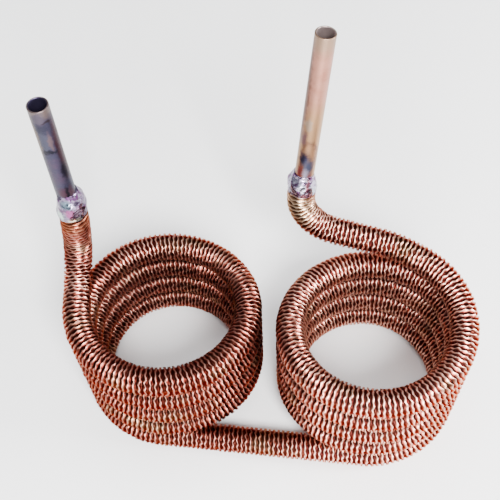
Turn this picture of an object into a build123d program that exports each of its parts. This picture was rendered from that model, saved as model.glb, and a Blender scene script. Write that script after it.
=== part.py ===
from build123d import *
import os
from math import atan2, ceil, cos, radians, sin

# Driving sizes, in millimetres, degrees and turns
tail_diameter = 9.52
tail_wall = 0.81
solder_gap = 0.1
root_wall = 1.14
fin_height = 1.4
turn_gap = 0.4
turn_growth = 0.35
turn_step = 0.3
coil_gap = 7.5

left_turn_radius = 41.65
left_turns = 4.227
left_lead = 5.6
left_bend_radius = 23.0
left_riser = (8.5, 82.9)
left_riser_length = 12.4
left_elbow_radius = 40.0
left_tail_heading = (97.0, 85.7)
left_tail_length = 62.2

right_turn_radius = 41.3
right_turns = 4.423
right_lead = 5.2
right_bend_radius = 47.0
right_lead_out = (172.6, 6.2)
right_lead_out_length = 24.0
right_elbow_radius = 20.8
right_tail_heading = (65.0, 79.1)
right_riser_length = 3.1
right_tail_length = 83.6

seat_depth = 8.0
collar_length = 5.0
dome_length = 7.4
dome_lip = 0.25
mouth_chamfer = 0.2

# Sizes that follow from them
tail_radius = tail_diameter / 2
bore_radius = tail_radius + solder_gap
root_radius = bore_radius + root_wall
fin_radius = root_radius + fin_height
turn_pitch = 2 * fin_radius + turn_gap
coil_spacing = left_turn_radius + right_turn_radius + 2 * fin_radius + coil_gap


def heading(azimuth, elevation):
    """Unit vector from a compass angle about +Z and an angle above the floor."""
    flat = cos(radians(elevation))
    return Vector(flat * cos(radians(azimuth)), flat * sin(radians(azimuth)), sin(radians(elevation)))


def half_turn_point(start, end, side, angle):
    """Point reached on the half circle from start to end after turning by angle."""
    centre = (start + end) * 0.5
    arm = start - centre
    outward = Vector(side * arm.length, 0, 0)
    return centre + arm * cos(radians(angle)) + outward * sin(radians(angle))


def coil_line(side, front, turn_radius, turns):
    """Centreline of one coil: flat half turns to the back, climbing ones to the front.

    The lowest half turn lies flat on the floor, so the winding leans back a little. A short
    straight at the front of each turn sets the next one over sideways.
    """
    lean = atan2(turn_pitch / 2, 2 * turn_radius)
    climb = Vector(0, turn_pitch * sin(lean), turn_pitch * cos(lean))
    growth = Vector(0, turn_growth, 0)
    step = Vector(side * turn_step, 0, 0)
    back = front + Vector(0, 2 * turn_radius, 0)
    line = []
    for half in range(ceil(2 * turns)):
        turn = half // 2
        if half % 2 == 0:
            start = front + (climb - growth + step) * turn
            end = back + (climb + growth + step) * turn
            bulge = side
            if turn > 0:
                line.append(Line(line[-1] @ 1, start))
        else:
            start = back + (climb + growth + step) * turn
            end = front + (climb - growth) * (turn + 1) + step * turn
            bulge = -side
        swept = min(180, 360 * turns - 180 * half)
        middle = half_turn_point(start, end, bulge, swept / 2)
        last = half_turn_point(start, end, bulge, swept)
        line.append(ThreePointArc(start, middle, last))
    return line


def bend(start, before, after, radius):
    """Arc that turns the tube from one heading to another."""
    turn = radians(before.get_angle(after))
    inward = (after - before * before.dot(after)).normalized()
    centre = start + inward * radius
    middle = centre + (before * sin(turn / 2) - inward * cos(turn / 2)) * radius
    last = centre + (before * sin(turn) - inward * cos(turn)) * radius
    return ThreePointArc(start, middle, last)


def end_route(coil_end, before, lead, first_radius, between, between_length, last_radius, after):
    """Straight, bend, straight and elbow from a coil's end to where the fins stop."""
    lead_out = Line(coil_end, coil_end + before * lead)
    first = bend(lead_out @ 1, before, between, first_radius)
    straight = Line(first @ 1, first @ 1 + between * between_length)
    last = bend(straight @ 1, between, after, last_radius)
    return [lead_out, first, straight, last]


def tube_along(path, outer_radius):
    """Round tube with the finned tube's bore along a centreline."""
    section = Plane(origin=path @ 0, z_dir=path % 0) * (Circle(outer_radius) - Circle(bore_radius))
    return sweep(section, path=path)


def finned_tube(route, seats):
    """The whole finned tube to its fin tips, with both ends stripped of fins."""
    stubs = [seat * tube_along(Line((0, 0, 0), (0, 0, seat_depth)), root_radius) for seat in seats]
    return tube_along(route, fin_radius) + stubs


def tail(seat, exposed_length):
    """Plain tube from the bottom of its seat to its open mouth."""
    length = collar_length + dome_length + exposed_length
    tube = extrude(Circle(tail_radius) - Circle(tail_radius - tail_wall), length)
    mouth = tube.faces().sort_by(Axis.Z)[-1]
    return seat * chamfer(mouth.edges(), mouth_chamfer)


def braze(seat):
    """Collar over the stripped end, domed down on to the tail."""
    dome_top = collar_length + dome_length
    slope = 45
    middle_radius = tail_radius + (fin_radius - tail_radius) * cos(radians(slope))
    middle_height = collar_length + dome_length * sin(radians(slope))
    shoulder = ThreePointArc(
        (fin_radius, 0, collar_length),
        (middle_radius, 0, middle_height),
        (tail_radius + dome_lip, 0, dome_top),
    )
    seat_side = Polyline(
        (tail_radius + dome_lip, 0, dome_top),
        (tail_radius, 0, dome_top),
        (tail_radius, 0, seat_depth),
        (root_radius, 0, seat_depth),
        (root_radius, 0, 0),
        (fin_radius, 0, 0),
        (fin_radius, 0, collar_length),
    )
    return seat * revolve(make_face([shoulder] + seat_side.edges()), Axis.Z)


left_front = Vector(-coil_spacing / 2, -right_turn_radius, fin_radius)
right_front = Vector(coil_spacing / 2, -right_turn_radius, fin_radius)
left_coil = coil_line(-1, left_front, left_turn_radius, left_turns)
right_coil = coil_line(1, right_front, right_turn_radius, right_turns)
left_end = end_route(left_coil[-1] @ 1, left_coil[-1] % 1, left_lead, left_bend_radius, heading(*left_riser),
                     left_riser_length, left_elbow_radius, heading(*left_tail_heading))
right_end = end_route(right_coil[-1] @ 1, right_coil[-1] % 1, right_lead, right_bend_radius,
                      heading(*right_lead_out), right_lead_out_length, right_elbow_radius,
                      heading(*right_tail_heading))
elbow_end = right_end[-1] @ 1
right_end.append(Line(elbow_end, elbow_end + heading(*right_tail_heading) * right_riser_length))
left_seat = Plane(origin=left_end[-1] @ 1, z_dir=left_end[-1] % 1)
right_seat = Plane(origin=right_end[-1] @ 1, z_dir=right_end[-1] % 1)
route = Wire([*left_coil, *left_end, Line(left_front, right_front), *right_coil, *right_end])

pieces = {
    "finned_tube": finned_tube(route, [left_seat, right_seat]),
    "left_tail": tail(left_seat, left_tail_length),
    "right_tail": tail(right_seat, right_tail_length),
    "left_braze": braze(left_seat),
    "right_braze": braze(right_seat),
}

# The frame's origin is on the floor, under the middle of the whole object
box = Compound(list(pieces.values())).bounding_box()
floor_middle = Vector(box.center().X, box.center().Y, box.min.Z)

os.makedirs("parts", exist_ok=True)
for name, piece in pieces.items():
    export_step(Pos(-floor_middle.X, -floor_middle.Y, -floor_middle.Z) * piece, f"parts/{name}.step")

print("centreline length", round(route.length, 1))
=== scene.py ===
from math import atan2, ceil, cos, pi, radians, sin, tau

import bmesh
import bpy
import numpy as np
from mathutils import Matrix, Vector, noise


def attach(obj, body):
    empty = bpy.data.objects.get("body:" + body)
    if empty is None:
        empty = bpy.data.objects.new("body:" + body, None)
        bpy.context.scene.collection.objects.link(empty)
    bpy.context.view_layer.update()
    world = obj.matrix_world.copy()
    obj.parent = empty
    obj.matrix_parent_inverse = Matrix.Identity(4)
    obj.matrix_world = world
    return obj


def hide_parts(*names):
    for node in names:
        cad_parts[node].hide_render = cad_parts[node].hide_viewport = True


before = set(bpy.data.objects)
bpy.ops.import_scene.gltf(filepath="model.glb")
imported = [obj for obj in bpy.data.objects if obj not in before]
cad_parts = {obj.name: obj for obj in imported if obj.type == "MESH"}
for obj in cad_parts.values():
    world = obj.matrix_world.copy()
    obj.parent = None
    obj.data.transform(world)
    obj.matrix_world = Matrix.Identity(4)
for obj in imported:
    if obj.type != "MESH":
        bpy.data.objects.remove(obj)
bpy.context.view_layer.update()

# The camera stands where the photograph was taken from, about half a metre away: high above the
# front of the coils, a little to the right, and rolled a few degrees so that the tails lean.
look_at = Vector((-0.0121, 0.0244, 0.0400))
camera_distance = 0.5032
camera_azimuth = radians(10.70)
camera_elevation = radians(61.24)
camera_roll = radians(-4.43)
sight = Vector((-sin(camera_azimuth) * cos(camera_elevation),
                cos(camera_azimuth) * cos(camera_elevation),
                -sin(camera_elevation)))
level_right = sight.cross(Vector((0, 0, 1))).normalized()
level_up = level_right.cross(sight)
camera_right = level_right * cos(camera_roll) + level_up * sin(camera_roll)
camera_up = level_up * cos(camera_roll) - level_right * sin(camera_roll)
camera_turn = Matrix((camera_right, camera_up, -sight)).transposed().to_4x4()
camera_data = bpy.data.cameras.new("camera")
camera_data.sensor_width = 36
camera_data.lens = 66.73
camera_data.shift_x = -0.0049
camera_data.shift_y = 0.0500
camera = bpy.data.objects.new("camera", camera_data)
camera.matrix_world = Matrix.Translation(look_at - sight * camera_distance) @ camera_turn
bpy.context.scene.collection.objects.link(camera)
bpy.context.scene.camera = camera

# The finned tube is one length of copper tube with a crimped copper strip wound on edge around it
# as a spiral fin. It is wound straight and then bent: left riser, left coil, the straight run on the
# floor, right coil and lead-out. Both ends are cut square where the silver collars begin.
fin_pitch = 0.00245
fin_sides = 23
fin_root = 0.00630
fin_crest = 0.00736
fin_section = [(fin_root, 0.0), (fin_crest, 0.18), (fin_crest, 0.37), (fin_root, 0.55), (fin_root, 1.0)]
fin_middle_share = 0.275
crimp_depth = 0.00044
least_crimp = 0.15
most_crimp = 1.55
crimp_stagger = 0.42
knock_depth = 0.00030
lean_depth = 0.00024
fins_per_lean = 3.3
under_collar = 0.0018
end_margin = 0.0002
weld = 0.000002
rounding_share = 0.0001
turn_pitch = 0.0152
turn_growth = 0.00035
turn_step = 0.0003
left_turn_radius = 0.04165
right_turn_radius = 0.0413
left_front = Vector((-0.051505, -0.057774, 0.0074))
right_front = Vector((0.053745, -0.057774, 0.0074))


def heading(azimuth, elevation):
    """Unit vector from a compass angle about +Z and an angle above the floor."""
    flat = cos(radians(elevation))
    return Vector((flat * cos(radians(azimuth)), flat * sin(radians(azimuth)), sin(radians(elevation))))


def wind_coil(side, front, turn_radius, turns):
    """Half turns of one coil as start, middle and end points, and the heading it ends with.

    A short straight at the front of each turn sets the next one over sideways.
    """
    lean = atan2(turn_pitch / 2, 2 * turn_radius)
    climb = Vector((0, turn_pitch * sin(lean), turn_pitch * cos(lean)))
    growth = Vector((0, turn_growth, 0))
    step = Vector((side * turn_step, 0, 0))
    back = front + Vector((0, 2 * turn_radius, 0))
    half_turns = []
    for half in range(ceil(2 * turns)):
        turn = half // 2
        start = front + (climb - growth + step) * turn
        end = back + (climb + growth + step) * turn
        bulge = side
        if half % 2:
            start, end, bulge = end, front + (climb - growth) * (turn + 1) + step * turn, -side
        elif turn:
            half_turns.append((half_turns[-1][2], None, start))
        swept = radians(min(180, 360 * turns - 180 * half))
        centre = (start + end) / 2
        arm = start - centre
        outward = Vector((bulge * arm.length, 0, 0))
        middle = centre + arm * cos(swept / 2) + outward * sin(swept / 2)
        last = centre + arm * cos(swept) + outward * sin(swept)
        half_turns.append((start, middle, last))
    return half_turns, (outward * cos(swept) - arm * sin(swept)).normalized()


def bend(start, before, after, radius):
    """Arc that turns the tube from one heading to another."""
    turn = before.angle(after)
    inward = (after - before * before.dot(after)).normalized()
    centre = start + inward * radius
    middle = centre + (before * sin(turn / 2) - inward * cos(turn / 2)) * radius
    return start, middle, centre + (before * sin(turn) - inward * cos(turn)) * radius


def end_route(coil_end, before, lead, first_radius, between, between_length, last_radius, after):
    """Straight, bend, straight and elbow from a coil's end to where the fins stop."""
    first = bend(coil_end + before * lead, before, between, first_radius)
    last = bend(first[2] + between * between_length, between, after, last_radius)
    return [(coil_end, None, first[0]), first, (first[2], None, last[0]), last]


left_tail_heading = heading(97, 85.7)
left_half, left_heading = wind_coil(-1, left_front, left_turn_radius, turns=4.227)
left_riser = end_route(left_half[-1][2], left_heading, lead=0.0056, first_radius=0.0230,
                       between=heading(8.5, 82.9), between_length=0.0124, last_radius=0.0400,
                       after=left_tail_heading)
left_half += left_riser
left_seat = left_half[-1][2]

right_tail_heading = heading(65, 79.1)
right_riser_length = 0.0031
right_half, right_heading = wind_coil(1, right_front, right_turn_radius, turns=4.423)
right_lead_out = end_route(right_half[-1][2], right_heading, lead=0.0052, first_radius=0.0470,
                           between=heading(172.6, 6.2), between_length=0.0240, last_radius=0.0208,
                           after=right_tail_heading)
elbow_end = right_lead_out[-1][2]
right_seat = elbow_end + right_tail_heading * right_riser_length
right_lead_out.append((elbow_end, None, right_seat))
right_half += right_lead_out

route = [(end, middle, start) for start, middle, end in reversed(left_half)]
route += [(left_front, None, right_front)] + right_half

# Each stretch starts with a heading and a side direction, and an arc also turns about its centre
lengths = []
stretches = []
side_way = Vector((1, 0, 0)).cross(left_tail_heading).normalized()
for start, middle, end in route:
    if middle is None:
        length = (end - start).length
        ahead = (end - start).normalized()
        centre, turning, radius, swept = None, None, None, 0.0
    else:
        to_middle, to_end = middle - start, end - start
        across = to_middle.cross(to_end)
        turning = across.normalized()
        centre = start + (across.cross(to_middle) * to_end.length_squared
                          + to_end.cross(across) * to_middle.length_squared) / (2 * across.length_squared)
        radius = (start - centre).length
        swept = 2 * (start - centre).angle(middle - centre)
        length = radius * swept
        ahead = turning.cross(start - centre).normalized()
    side_way = (side_way - ahead * side_way.dot(ahead)).normalized()
    lengths.append(length)
    stretches.append((start, ahead, side_way.copy(), centre, turning, radius))
    if swept:
        side_way = Matrix.Rotation(swept, 3, turning) @ side_way
tube_length = sum(lengths)


def turned(ways, axis, angles):
    """Directions, one for each angle, turned about an axis by those angles."""
    kept, crossed = np.cos(angles)[:, None], np.sin(angles)[:, None]
    return ways * kept + np.cross(axis, ways) * crossed + axis * (ways @ axis)[:, None] * (1 - kept)


def bend_along_route(along, around, out, fin_middle):
    """Places of points of the straight finned tube once it is bent.

    along is the length from the left end, around the angle about the tube and out the distance from
    its middle. A fin keeps its thickness in a bend, so only the gaps open outside and close inside.
    """
    places = np.zeros((len(along), 3))
    begun = 0.0
    for number, (length, stretch) in enumerate(zip(lengths, stretches)):
        start, ahead, side, centre, turning, radius = stretch
        first = number == 0
        final = number == len(stretches) - 1
        here = ((along >= begun) | first) & ((along < begun + length) | final)
        ahead, side = np.array(ahead), np.array(side)
        angle = around[here, None]
        spoke = out[here, None] * (np.cos(angle) * side + np.sin(angle) * np.cross(ahead, side))
        if radius is None:
            places[here] = np.array(start) + ahead * (along[here] - begun)[:, None] + spoke
        else:
            arm = np.array(start - centre)
            widening = 1 + spoke @ arm / radius / radius
            run = fin_middle[here] + (along[here] - fin_middle[here]) / widening - begun
            places[here] = np.array(centre) + turned(arm + spoke, np.array(turning), run / radius)
        begun += length
    return places


# One fin is spun, and repeated along a straight tube whose ends are then cut square and closed
fin_turns = ceil(tube_length / fin_pitch) + 2
fin = bmesh.new()
corners = [fin.verts.new((out, 0, share * fin_pitch)) for out, share in fin_section]
strip = [fin.edges.new(pair) for pair in zip(corners, corners[1:])]
bmesh.ops.spin(fin, geom=corners + strip, cent=(0, 0, 0), axis=(0, 0, 1), dvec=(0, 0, fin_pitch / fin_sides),
               angle=tau, steps=fin_sides, use_merge=False, use_duplicate=False)
fin_mesh = bpy.data.meshes.new("fin")
fin.to_mesh(fin_mesh)
fin.free()
fin_object = bpy.data.objects.new("fin", fin_mesh)
bpy.context.scene.collection.objects.link(fin_object)
winding = fin_object.modifiers.new("winding", "ARRAY")
winding.count = fin_turns
winding.use_relative_offset = False
winding.use_constant_offset = True
winding.constant_offset_displace = (0, 0, fin_pitch)
winding.use_merge_vertices = True
winding.merge_threshold = weld / 2
depsgraph = bpy.context.evaluated_depsgraph_get()
straight_mesh = bpy.data.meshes.new_from_object(fin_object.evaluated_get(depsgraph))
bpy.data.objects.remove(fin_object)

tube = bmesh.new()
tube.from_mesh(straight_mesh)
bmesh.ops.remove_doubles(tube, verts=tube.verts, dist=weld)
for height, way in ((fin_pitch - under_collar, -1), (fin_pitch + tube_length + under_collar, 1)):
    bmesh.ops.bisect_plane(tube, geom=tube.verts[:] + tube.edges[:] + tube.faces[:], dist=weld,
                           plane_co=(0, 0, height), plane_no=(0, 0, way), clear_outer=True)
bmesh.ops.holes_fill(tube, edges=[edge for edge in tube.edges if edge.is_boundary], sides=0)
bmesh.ops.recalc_face_normals(tube, faces=tube.faces[:])
for face in tube.faces:
    face.smooth = True

# The crest is crimped from side to side, and leans and is knocked down here and there
straight = np.array([vert.co for vert in tube.verts])
around = np.arctan2(straight[:, 1], straight[:, 0]) % tau
out = np.hypot(straight[:, 0], straight[:, 1])
crest = np.clip((out - fin_root) / (fin_crest - fin_root), 0, 1)
fin_number = np.floor(straight[:, 2] / fin_pitch - around / tau + rounding_share)
crimp_number = np.rint(fin_number * fin_sides + around / tau * fin_sides).astype(int)
chance = np.random.default_rng(11)
crimp = chance.uniform(least_crimp, most_crimp, crimp_number.max() + 3) * crimp_depth
knock = chance.uniform(0.0, knock_depth, crimp_number.max() + 3)
lean_knots = chance.normal(0, lean_depth, fin_turns + 3)
along = straight[:, 2] - fin_pitch
lean = np.interp(along / (fins_per_lean * fin_pitch), np.arange(fin_turns + 3), lean_knots)
fin_middle = (fin_number + fin_middle_share + around / tau) * fin_pitch - fin_pitch
between_ends = (along > end_margin - under_collar) & (along < tube_length + under_collar - end_margin)
along = along + between_ends * crest * (np.where(crimp_number % 2, 1, -1) * crimp[crimp_number] + lean)
along = np.clip(along, -under_collar, tube_length + under_collar)
out = out - crest * knock[crimp_number]
fin_middle = np.where(between_ends, fin_middle, along)
spread = around + crimp_stagger * tau / fin_sides * along / fin_pitch
places = bend_along_route(along, spread, out, fin_middle)
for vert, place in zip(tube.verts, places):
    vert.co = place
finned_mesh = bpy.data.meshes.new("finned_tube_fins")
tube.to_mesh(finned_mesh)
tube.free()
finned_piece = bpy.data.objects.new("finned_tube_fins", finned_mesh)
bpy.context.scene.collection.objects.link(finned_piece)


def on_tube(low, high, fade=0.02):
    """1 on the tube from low to high, fading out inside these ends."""
    return np.clip((along - low) / fade, 0, 1) * np.clip((high - along) / fade, 0, 1)


# Painted shade: the fins are darkened in the grooves where a turn touches the next one above or below it
groove_begins = 0.55
groove_widens = 0.40
groove_shade_strength = 0.6
left_top = sum(lengths[:len(left_riser)])
left_bottom = sum(lengths[:len(left_half)])
right_bottom = left_bottom + lengths[len(left_half)]
right_top = tube_length - sum(lengths[-len(right_lead_out):])
left_turn = tau * left_turn_radius
right_turn = tau * right_turn_radius
under_a_turn = on_tube(left_top + left_turn, left_bottom) + on_tube(right_bottom, right_top - right_turn)
over_a_turn = on_tube(left_top, left_bottom - left_turn) + on_tube(right_bottom + right_turn, right_top)
upward = (places - bend_along_route(along, spread, 0 * out, fin_middle))[:, 2] / out
facing = np.clip((np.abs(upward) - groove_begins) / groove_widens, 0, 1)
groove_shade = groove_shade_strength * facing * np.where(upward > 0, under_a_turn, over_a_turn)
for name, values in (("crest", crest), ("groove_shade", groove_shade)):
    attribute = finned_mesh.attributes.new(name, "FLOAT", "POINT")
    attribute.data.foreach_set("value", values.astype(np.float32))


def blank_finish(name):
    """New material, with its node tree and its shader."""
    made = bpy.data.materials.new(name)
    made.use_nodes = True
    return made, made.node_tree, made.node_tree.nodes["Principled BSDF"]


def node(tree, kind, values=(), **settings):
    """Adds a shader node; each of its inputs takes a value or another node's output."""
    made = tree.nodes.new(kind)
    for name, value in settings.items():
        setattr(made, name, value)
    for socket, value in dict(values).items():
        if isinstance(value, bpy.types.NodeSocket):
            tree.links.new(value, made.inputs[socket])
        else:
            made.inputs[socket].default_value = value
    return made


def colour_ramp(tree, share, stops):
    """Colour that follows a share from 0 to 1 through the given places and colours."""
    made = node(tree, "ShaderNodeValToRGB", {"Fac": share})
    ramp = made.color_ramp
    ramp.elements[0].position, ramp.elements[0].color = stops[0][0], (*stops[0][1], 1)
    ramp.elements[1].position, ramp.elements[1].color = stops[-1][0], (*stops[-1][1], 1)
    for position, colour in stops[1:-1]:
        ramp.elements.new(position).color = (*colour, 1)
    return made.outputs["Color"]


def mixed(tree, share, first, second):
    """Mixes two colours, each a socket or a fixed colour, by a socket's share."""
    first_socket, second_socket, result_socket = 6, 7, 2
    first, second = ((*colour, 1) if isinstance(colour, tuple) else colour for colour in (first, second))
    inputs = {"Factor": share, first_socket: first, second_socket: second}
    return node(tree, "ShaderNodeMix", inputs, data_type="RGBA").outputs[result_socket]


def vector_math(tree, operation, *values):
    """Vector worked out from sockets or fixed vectors; a length comes out as a number."""
    made = node(tree, "ShaderNodeVectorMath", dict(enumerate(values)), operation=operation)
    return made.outputs["Value" if operation == "LENGTH" else "Vector"]


def mask_group(name, **inputs):
    """New node group that puts out one mask, with the sockets it is given and the ones it fills."""
    made = bpy.data.node_groups.new(name, "ShaderNodeTree")
    for socket, kind in inputs.items():
        made.interface.new_socket(socket, in_out="INPUT", socket_type="NodeSocket" + kind)
    made.interface.new_socket("Mask", in_out="OUTPUT", socket_type="NodeSocketFloat")
    return made, made.nodes.new("NodeGroupInput").outputs, made.nodes.new("NodeGroupOutput").inputs


patches, given, wanted = mask_group("patches", Place="Vector", Scale="Float", Low="Float", High="Float")
cloud = node(patches, "ShaderNodeTexNoise",
             {"Vector": given["Place"], "Scale": given["Scale"], "Detail": 3.0, "Roughness": 0.6})
limits = node(patches, "ShaderNodeMapRange",
              {"Value": cloud.outputs["Fac"], "From Min": given["Low"], "From Max": given["High"]},
              interpolation_type="SMOOTHSTEP")
patches.links.new(limits.outputs["Result"], wanted["Mask"])


def patch_mask(tree, place, scale, low, high):
    """Cloudy mask over the surface, from 0 where the cloud is under low to 1 over high."""
    inputs = {"Place": place, "Scale": scale, "Low": low, "High": high}
    return node(tree, "ShaderNodeGroup", inputs, node_tree=patches).outputs["Mask"]


stains_and_shade, given, wanted = mask_group("stains_and_shade", Place="Vector", Middle="Vector", Reach="Vector", Core="Float")
ragged = node(stains_and_shade, "ShaderNodeTexNoise",
              {"Vector": given["Place"], "Scale": 0.45, "Detail": 3.0, "Roughness": 0.6})
shift = vector_math(stains_and_shade, "SUBTRACT", ragged.outputs["Color"], (0.5, 0.5, 0.5))
wandered = vector_math(stains_and_shade, "ADD", given["Place"], vector_math(stains_and_shade, "MULTIPLY", shift, (3.0, 3.0, 5.0)))
from_middle = vector_math(stains_and_shade, "SUBTRACT", wandered, given["Middle"])
far = vector_math(stains_and_shade, "LENGTH", vector_math(stains_and_shade, "DIVIDE", from_middle, given["Reach"]))
fade = node(stains_and_shade, "ShaderNodeMapRange", {"Value": far, "From Min": 1.25, "From Max": given["Core"]},
            interpolation_type="SMOOTHSTEP")
stains_and_shade.links.new(fade.outputs["Result"], wanted["Mask"])


def stained_and_shaded(tree, place, colour, middle, reach, core, patch_colour):
    """Lays one ragged oval patch of stain or painted shade over a colour; core is how far out it stays full.
    """
    inputs = {"Place": place, "Middle": middle, "Reach": reach, "Core": core}
    return mixed(tree, node(tree, "ShaderNodeGroup", inputs, node_tree=stains_and_shade).outputs["Mask"], colour, patch_colour)


def tail_axes(axis):
    """Turn from the coil's axes to a tail's own: +X to its right, +Y to its back, +Z up it."""
    right_way = Vector((0.98, 0.19, 0.0))
    across = (right_way - axis * right_way.dot(axis)).normalized()
    return Matrix((across, axis.cross(across), axis)).transposed()


def along_tail(tree, seat, axis):
    """Place on a tail in millimetres, from its seat and along its own axes."""
    inputs = {"Vector": node(tree, "ShaderNodeTexCoord").outputs["Object"], "Location": seat,
              "Rotation": tail_axes(axis).to_euler(), "Scale": (0.001, 0.001, 0.001)}
    return node(tree, "ShaderNodeMapping", inputs, vector_type="TEXTURE").outputs["Vector"]


finned_copper, tree, shader = blank_finish("finned_copper")
place = node(tree, "ShaderNodeTexCoord").outputs["Object"]
from_left_seat = along_tail(tree, left_seat, left_tail_heading)
from_right_seat = along_tail(tree, right_seat, right_tail_heading)
up_the_fin = node(tree, "ShaderNodeAttribute", attribute_name="crest").outputs["Fac"]
in_groove_shade = node(tree, "ShaderNodeAttribute", attribute_name="groove_shade").outputs["Fac"]
# Each colour runs from the root of a fin to its crest; its darkening towards the root is painted shade in the
# narrow gaps between fins
bright = colour_ramp(tree, up_the_fin, [
    (0.0, (0.036, 0.006, 0.005)),
    (0.45, (0.20, 0.050, 0.034)),
    (0.80, (0.54, 0.210, 0.146)),
    (1.0, (0.90, 0.495, 0.385)),
])
tarnished = colour_ramp(tree, up_the_fin, [
    (0.0, (0.022, 0.003, 0.002)),
    (0.45, (0.085, 0.015, 0.010)),
    (0.80, (0.21, 0.064, 0.045)),
    (1.0, (0.38, 0.165, 0.130)),
])
olive = colour_ramp(tree, up_the_fin, [
    (0.0, (0.035, 0.014, 0.007)),
    (0.6, (0.17, 0.095, 0.052)),
    (1.0, (0.42, 0.265, 0.165)),
])
khaki = colour_ramp(tree, up_the_fin, [
    (0.0, (0.050, 0.020, 0.010)),
    (0.6, (0.26, 0.15, 0.085)),
    (1.0, (0.62, 0.46, 0.31)),
])
scorched = colour_ramp(tree, up_the_fin, [
    (0.0, (0.035, 0.006, 0.004)),
    (0.6, (0.12, 0.034, 0.018)),
    (1.0, (0.29, 0.110, 0.064)),
])

# The left coil and its riser are more tarnished than the rest, and both ends took colour from the flame
colour = stained_and_shaded(tree, from_left_seat, bright, middle=(44, -58, -78), reach=(62, 74, 90), core=0.75,
                 patch_colour=tarnished)
colour = stained_and_shaded(tree, from_left_seat, colour, middle=(0, 0, -28), reach=(14, 14, 42), core=0.8,
                 patch_colour=tarnished)
colour = mixed(tree, patch_mask(tree, place, scale=480, low=0.48, high=0.80), colour, (0.16, 0.040, 0.026))
colour = mixed(tree, patch_mask(tree, place, scale=55, low=0.52, high=0.80), colour, olive)
colour = stained_and_shaded(tree, from_right_seat, colour, middle=(-2, -3, -8), reach=(12, 14, 17), core=0.4,
                 patch_colour=khaki)
# Painted shade darkens the fins in the grooves between touching turns
colour = mixed(tree, in_groove_shade, colour, (0.045, 0.010, 0.007))
# Painted shade: a dark patch on the left coil's inner wall, which faces away from the light
colour = stained_and_shaded(tree, from_left_seat, colour, middle=(12, -26, -84), reach=(10, 22, 24), core=0.3,
                 patch_colour=(0.060, 0.016, 0.011))
colour = stained_and_shaded(tree, from_left_seat, colour, middle=(0, -4, -2), reach=(10, 10, 8), core=0.4,
                 patch_colour=scorched)
tree.links.new(colour, shader.inputs["Base Color"])
shader.inputs["Metallic"].default_value = 1.0
shader.inputs["Roughness"].default_value = 0.30
shader.inputs["Specular Tint"].default_value = (0.62, 0.30, 0.22, 1)
finned_mesh.materials.append(finned_copper)

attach(finned_piece, "root")
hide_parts("finned_tube")

# The left tail is a plain copper tube whose upper mouth is cut square. The flame that brazed it
# turned it slate blue and violet, with dark edges where the heat stopped and bare tan by the mouth.
# Its marks and the edge of its bore are placed in millimetres, from its seat and its axis.
bore_edge = 4.0
rim_blend = 0.25


def tail_finish(name, seat, axis, base, clouds, marks_and_shade, bore_colour, roughness):
    """Satin tube finish: cloudy base, the marks and painted shade laid over it in turn, and the bore's own
    colour.

    A mark is its middle, its reach, how far out it stays full, and its colour; the first two are
    in millimetres along the tail's own axes.
    """
    made, tree, shader = blank_finish(name)
    place = along_tail(tree, seat, axis)
    colour = mixed(tree, patch_mask(tree, place, scale=0.16, low=0.40, high=0.66), base, clouds)
    for middle, reach, core, patch_colour in marks_and_shade:
        colour = stained_and_shaded(tree, place, colour, middle, reach, core, patch_colour)
    from_axis = vector_math(tree, "LENGTH", vector_math(tree, "MULTIPLY", place, (1, 1, 0)))
    in_bore = node(tree, "ShaderNodeMapRange",
                   {"Value": from_axis, "From Min": bore_edge + rim_blend, "From Max": bore_edge})
    colour = mixed(tree, in_bore.outputs["Result"], colour, bore_colour)
    tree.links.new(colour, shader.inputs["Base Color"])
    grain = node(tree, "ShaderNodeTexNoise",
                 {"Vector": place, "Scale": 1.4, "Detail": 4.0, "Roughness": 0.65}).outputs["Fac"]
    satin = node(tree, "ShaderNodeMapRange",
                 {"Value": grain, "From Min": 0.3, "From Max": 0.7,
                  "To Min": roughness - 0.07, "To Max": roughness + 0.09})
    tree.links.new(satin.outputs["Result"], shader.inputs["Roughness"])
    dents = node(tree, "ShaderNodeBump", {"Height": grain, "Strength": 0.25, "Distance": 0.0002})
    tree.links.new(dents.outputs["Normal"], shader.inputs["Normal"])
    shader.inputs["Metallic"].default_value = 0.85
    return made


left_marks = [
    ((0.0, 0.0, 77.5), (9.0, 9.0, 8.5), 0.75, (0.095, 0.069, 0.066)),
    ((-0.6, -4.7, 70.6), (3.2, 3.2, 3.6), 0.5, (0.047, 0.037, 0.053)),
    ((-4.3, -2.2, 57.0), (2.4, 3.0, 12.0), 0.7, (0.100, 0.067, 0.050)),
    ((-0.4, -4.7, 64.0), (3.2, 3.0, 3.6), 0.5, (0.015, 0.014, 0.027)),
    ((-0.8, -4.7, 56.5), (2.4, 3.0, 6.5), 0.5, (0.033, 0.033, 0.053)),
    ((1.6, -4.4, 56.0), (1.2, 2.0, 6.0), 0.4, (0.069, 0.045, 0.053)),
    ((4.5, -1.2, 50.0), (2.3, 3.8, 20.0), 0.6, (0.024, 0.006, 0.013)),
    ((-0.4, -4.5, 49.6), (4.4, 3.4, 1.5), 0.5, (0.005, 0.004, 0.010)),
    ((2.6, -3.9, 67.6), (2.6, 2.4, 0.9), 0.5, (0.015, 0.009, 0.013)),
    ((3.4, -3.2, 35.5), (1.9, 2.4, 6.0), 0.5, (0.005, 0.003, 0.010)),
    ((0.2, -4.7, 21.0), (3.2, 3.2, 4.4), 0.4, (0.033, 0.012, 0.022)),
    ((3.4, -3.2, 19.0), (1.4, 2.2, 7.0), 0.4, (0.057, 0.028, 0.041)),
    ((1.9, -4.3, 19.0), (0.8, 2.0, 8.0), 0.4, (0.004, 0.002, 0.006)),
    ((1.8, -4.3, 13.6), (1.6, 2.2, 1.9), 0.5, (0.003, 0.002, 0.005)),
]
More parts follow.
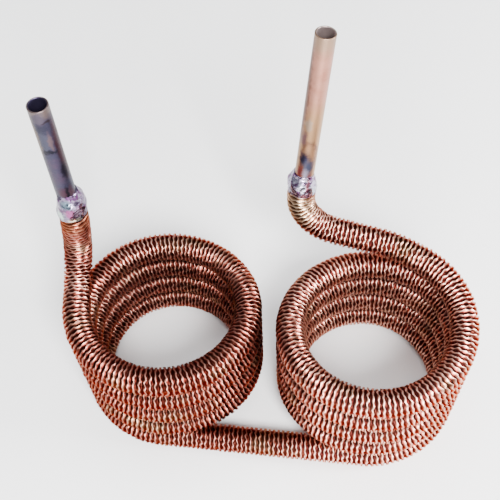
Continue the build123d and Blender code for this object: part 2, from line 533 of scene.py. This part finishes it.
tinted_copper = tail_finish("tinted_copper", left_seat, left_tail_heading, base=(0.025, 0.023, 0.044),
                            clouds=(0.038, 0.025, 0.046), marks_and_shade=left_marks,
                            bore_colour=(0.040, 0.032, 0.070), roughness=0.42)
bpy.data.objects["left_tail"].material_slots[0].material = tinted_copper

# The right tail is a longer plain copper tube, left nearly bare: pinkish tan above, golden tan in
# its lower half, and slate, red and lilac where the flame met it just over the collar.
right_marks_and_shade = [
    ((1.0, -2.0, 33.0), (10.0, 10.0, 27.0), 0.7, (0.280, 0.158, 0.078)),
    ((0.0, 0.0, 97.0), (9.0, 9.0, 12.0), 0.6, (0.222, 0.141, 0.093)),
    # Painted shade: a dark red-brown stripe down the tail's left side, turned away from the light
    ((-5.0, -0.4, 64.0), (2.3, 3.6, 30.0), 0.6, (0.117, 0.046, 0.028)),
    ((-2.2, -4.2, 47.5), (1.7, 2.4, 4.0), 0.5, (0.259, 0.183, 0.129)),
    ((-3.4, -3.3, 38.5), (1.7, 2.4, 5.5), 0.4, (0.140, 0.073, 0.069)),
    ((-0.2, -4.5, 27.5), (3.9, 3.4, 9.4), 0.90, (0.110, 0.048, 0.033)),
    ((-0.3, -4.5, 27.0), (3.4, 3.2, 8.8), 0.80, (0.262, 0.140, 0.073)),
    ((-2.2, -4.2, 26.0), (3.2, 2.8, 5.4), 0.3, (0.014, 0.011, 0.027)),
    ((0.3, -4.6, 21.0), (3.4, 2.8, 6.4), 0.3, (0.048, 0.052, 0.090)),
    ((-3.2, -3.6, 17.0), (2.0, 2.4, 5.6), 0.3, (0.160, 0.034, 0.029)),
    ((-0.4, -4.6, 15.6), (2.0, 2.4, 4.6), 0.3, (0.230, 0.200, 0.270)),
    ((1.6, -4.4, 13.8), (1.4, 2.0, 4.0), 0.3, (0.180, 0.062, 0.080)),
]
plain_copper = tail_finish("plain_copper", right_seat, right_tail_heading, base=(0.325, 0.150, 0.108),
                           clouds=(0.27, 0.115, 0.080), marks_and_shade=right_marks_and_shade,
                           bore_colour=(0.36, 0.28, 0.27), roughness=0.38)
bpy.data.objects["right_tail"].material_slots[0].material = plain_copper

# The two collars are silver brazing alloy that was melted over the joints. It ran over the first
# fins, stands in a lumpy shoulder off to one side, and thins out up the tail.
# Their shape is given in millimetres, out from the tail's axis and up from its seat.
left_collar_profile = [
    (4.76, 1.5), (7.05, 1.5), (7.15, 2.1), (7.15, 2.7), (7.15, 3.3), (7.15, 3.9), (7.15, 4.5), (7.15, 5.1),
    (7.15, 5.8), (7.12, 6.5), (7.08, 7.2), (7.04, 8.0), (7.00, 8.8), (6.95, 9.6), (6.88, 10.4), (6.78, 11.2),
    (6.60, 12.0), (6.35, 12.8), (6.05, 13.6), (5.72, 14.4), (5.42, 15.2), (5.16, 16.0), (4.95, 17.0),
    (4.82, 17.8), (4.76, 18.0),
]
right_collar_profile = [
    (4.76, 1.8), (7.10, 1.8), (7.20, 2.3), (7.26, 2.9), (7.32, 3.5), (7.36, 4.1), (7.38, 4.7), (7.38, 5.3),
    (7.36, 5.9), (7.32, 6.5), (7.25, 7.1), (7.16, 7.7), (7.02, 8.3), (6.84, 8.9), (6.62, 9.5), (6.36, 10.1),
    (6.08, 10.7), (5.80, 11.3), (5.52, 11.9), (5.27, 12.5), (5.06, 13.1), (4.90, 13.7), (4.76, 14.0),
]
collar_steps = 72
collar_bore = 4.78
lumps_per_metre = 330
lump_smoothness = 1.0
finer_each_layer = 2.0
lump_layers = 3
lump_height = 0.38
thin_edge = 1.5
ridge_height = 0.30
ridge_bluntness = 0.6
ridge_middle = 0.75
ridge_start = 0.6
ridges_end = 6.5
ridges_fade = 2.6
shoulder_middle = 0.66
shoulder_reach = 0.40
sag = 0.9
sag_coarseness = 0.4
level_edge = 0.1


def lumpy_collar(name, seat, axis, profile, shoulder_out, seed):
    """Ring of molten-looking alloy around a tail's seat, with ridges where it covers fins.

    shoulder_out is how far its shoulder leans to the right, and seed picks its lumps.
    """
    ring = bmesh.new()
    corners = [ring.verts.new((out / 1000, 0, height / 1000)) for out, height in profile]
    edges = [ring.edges.new(pair) for pair in zip(corners, corners[1:] + corners[:1])]
    bmesh.ops.spin(ring, geom=corners + edges, cent=(0, 0, 0), axis=(0, 0, 1), angle=tau, steps=collar_steps,
                   use_merge=True, use_duplicate=False)
    bmesh.ops.remove_doubles(ring, verts=ring.verts, dist=weld)
    bmesh.ops.recalc_face_normals(ring, faces=ring.faces[:])
    bottom, top = profile[0][1], profile[-1][1]
    for vert in ring.verts:
        height = vert.co.z * 1000
        flat = Vector((vert.co.x, vert.co.y, 0))
        if flat.length * 1000 < collar_bore:
            continue
        winds = vert.co.z / fin_pitch - atan2(vert.co.y, vert.co.x) / tau
        sample = vert.co * lumps_per_metre + Vector((seed, 0, 0))
        lump = noise.fractal(sample, lump_smoothness, finer_each_layer, lump_layers)
        over_fins = max(0.0, min(1.0, (ridges_end - height) / ridges_fade))
        ridge = abs(sin(pi * winds + ridge_start)) ** ridge_bluntness - ridge_middle
        shoulder = max(0.0, 1 - ((height / top - shoulder_middle) / shoulder_reach) ** 2)
        fade = min(1.0, (top - height) / thin_edge)
        vert.co += flat.normalized() * (lump_height * lump * fade + ridge_height * ridge * over_fins) / 1000
        vert.co.x += shoulder_out * shoulder / 1000
        if height > bottom + level_edge:
            vert.co.z += sag * noise.noise(sample * sag_coarseness) * fade / 1000
    for face in ring.faces:
        face.smooth = True
    onto_seat = Matrix.Translation(seat) @ tail_axes(axis).to_4x4()
    bmesh.ops.transform(ring, matrix=onto_seat, verts=ring.verts)
    mesh = bpy.data.meshes.new(name)
    ring.to_mesh(mesh)
    ring.free()
    collar = bpy.data.objects.new(name, mesh)
    bpy.context.scene.collection.objects.link(collar)
    return collar


def braze_finish(name, seat, axis, bare, violet, flux):
    """Bright alloy, iridescent with flux in clouds, with dark specks here and there."""
    made, tree, shader = blank_finish(name)
    place = along_tail(tree, seat, axis)
    colour = mixed(tree, patch_mask(tree, place, scale=0.40, low=0.44, high=0.60), bare, violet)
    for middle, reach, core, patch_colour in flux:
        colour = stained_and_shaded(tree, place, colour, middle, reach, core, patch_colour)
    colour = mixed(tree, patch_mask(tree, place, scale=0.75, low=0.60, high=0.70), colour, (0.05, 0.02, 0.05))
    tree.links.new(colour, shader.inputs["Base Color"])
    crust = node(tree, "ShaderNodeTexNoise",
                 {"Vector": place, "Scale": 0.42, "Detail": 1.0, "Roughness": 0.4}).outputs["Fac"]
    melted = node(tree, "ShaderNodeBump", {"Height": crust, "Strength": 0.5, "Distance": 0.0009})
    tree.links.new(melted.outputs["Normal"], shader.inputs["Normal"])
    shader.inputs["Metallic"].default_value = 1.0
    shader.inputs["Roughness"].default_value = 0.24
    return made


def braze_collar(side, seat, axis, profile, shoulder_out, seed, bare, violet, flux):
    """One whole collar, which stands for its plain solid."""
    collar = lumpy_collar(side + "_braze_bead", seat, axis, profile, shoulder_out, seed)
    collar.data.materials.append(braze_finish(side + "_braze_silver", seat, axis, bare, violet, flux))
    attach(collar, "root")
    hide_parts(side + "_braze")


left_flux = [
    ((-0.8, -5.6, 13.4), (3.2, 3.4, 3.0), 0.5, (0.107, 0.145, 0.184)),
    ((0.2, -6.8, 8.0), (2.8, 3.2, 3.4), 0.4, (0.264, 0.071, 0.184)),
    ((4.2, -5.6, 8.0), (2.8, 3.2, 3.2), 0.4, (0.511, 0.335, 0.481)),
    ((-4.8, -4.6, 5.2), (2.6, 3.2, 2.6), 0.4, (0.451, 0.557, 0.511)),
    ((1.8, -6.6, 3.0), (4.0, 3.2, 1.6), 0.4, (0.526, 0.466, 0.364)),
]
right_flux = [
    ((-1.6, -6.0, 8.6), (3.0, 3.0, 2.6), 0.5, (0.364, 0.364, 0.451)),
    ((1.2, -6.6, 9.2), (1.2, 3.0, 3.4), 0.4, (0.342, 0.132, 0.170)),
    ((4.4, -4.6, 5.6), (2.4, 3.0, 2.6), 0.4, (0.466, 0.526, 0.618)),
    ((0.4, -7.0, 3.2), (2.6, 3.0, 2.2), 0.4, (0.496, 0.307, 0.451)),
    ((-5.4, -3.6, 8.4), (1.6, 2.4, 1.6), 0.4, (0.048, 0.032, 0.048)),
]
braze_collar("left", left_seat, left_tail_heading, left_collar_profile, shoulder_out=1.2, seed=3.0,
             bare=(0.20, 0.16, 0.24), violet=(0.078, 0.030, 0.088), flux=left_flux)
braze_collar("right", right_seat, right_tail_heading, right_collar_profile, shoulder_out=-0.8, seed=17.0,
             bare=(0.36, 0.33, 0.42), violet=(0.14, 0.063, 0.155), flux=right_flux)

# The coil stands free on a plain pale floor under soft studio light: a low light and a stronger
# high one in front, one from the right, and a broad weak one overhead.
floor_mesh = bpy.data.meshes.new("floor")
floor_grid = bmesh.new()
bmesh.ops.create_grid(floor_grid, x_segments=1, y_segments=1, size=3.0)
floor_grid.to_mesh(floor_mesh)
floor_grid.free()
floor = bpy.data.objects.new("floor", floor_mesh)
bpy.context.scene.collection.objects.link(floor)
floor_paint, tree, shader = blank_finish("floor_paint")
shader.inputs["Base Color"].default_value = (0.86, 0.86, 0.86, 1)
shader.inputs["Roughness"].default_value = 0.9
floor_mesh.materials.append(floor_paint)


def soft_light(name, place, size, power):
    """Square soft light that faces the coil."""
    aim = Vector((0, 0, 0.03))
    lamp = bpy.data.lights.new(name, "AREA")
    lamp.size = size
    lamp.energy = power
    light = bpy.data.objects.new(name, lamp)
    light.location = place
    light.rotation_euler = (Vector(place) - aim).to_track_quat("Z", "Y").to_euler()
    bpy.context.scene.collection.objects.link(light)


soft_light("front_light", (0.18, -1.05, 0.26), size=0.36, power=30)
soft_light("high_light", (0.35, -0.70, 1.05), size=0.40, power=50)
soft_light("right_light", (1.0, 0.05, 0.45), size=0.35, power=24)
soft_light("overhead_light", (-0.1, 0.3, 1.5), size=0.9, power=18)
world = bpy.data.worlds.new("room")
world.use_nodes = True
world.node_tree.nodes["Background"].inputs["Color"].default_value = (0.9, 0.93, 1.0, 1)
world.node_tree.nodes["Background"].inputs["Strength"].default_value = 0.50
bpy.context.scene.world = world
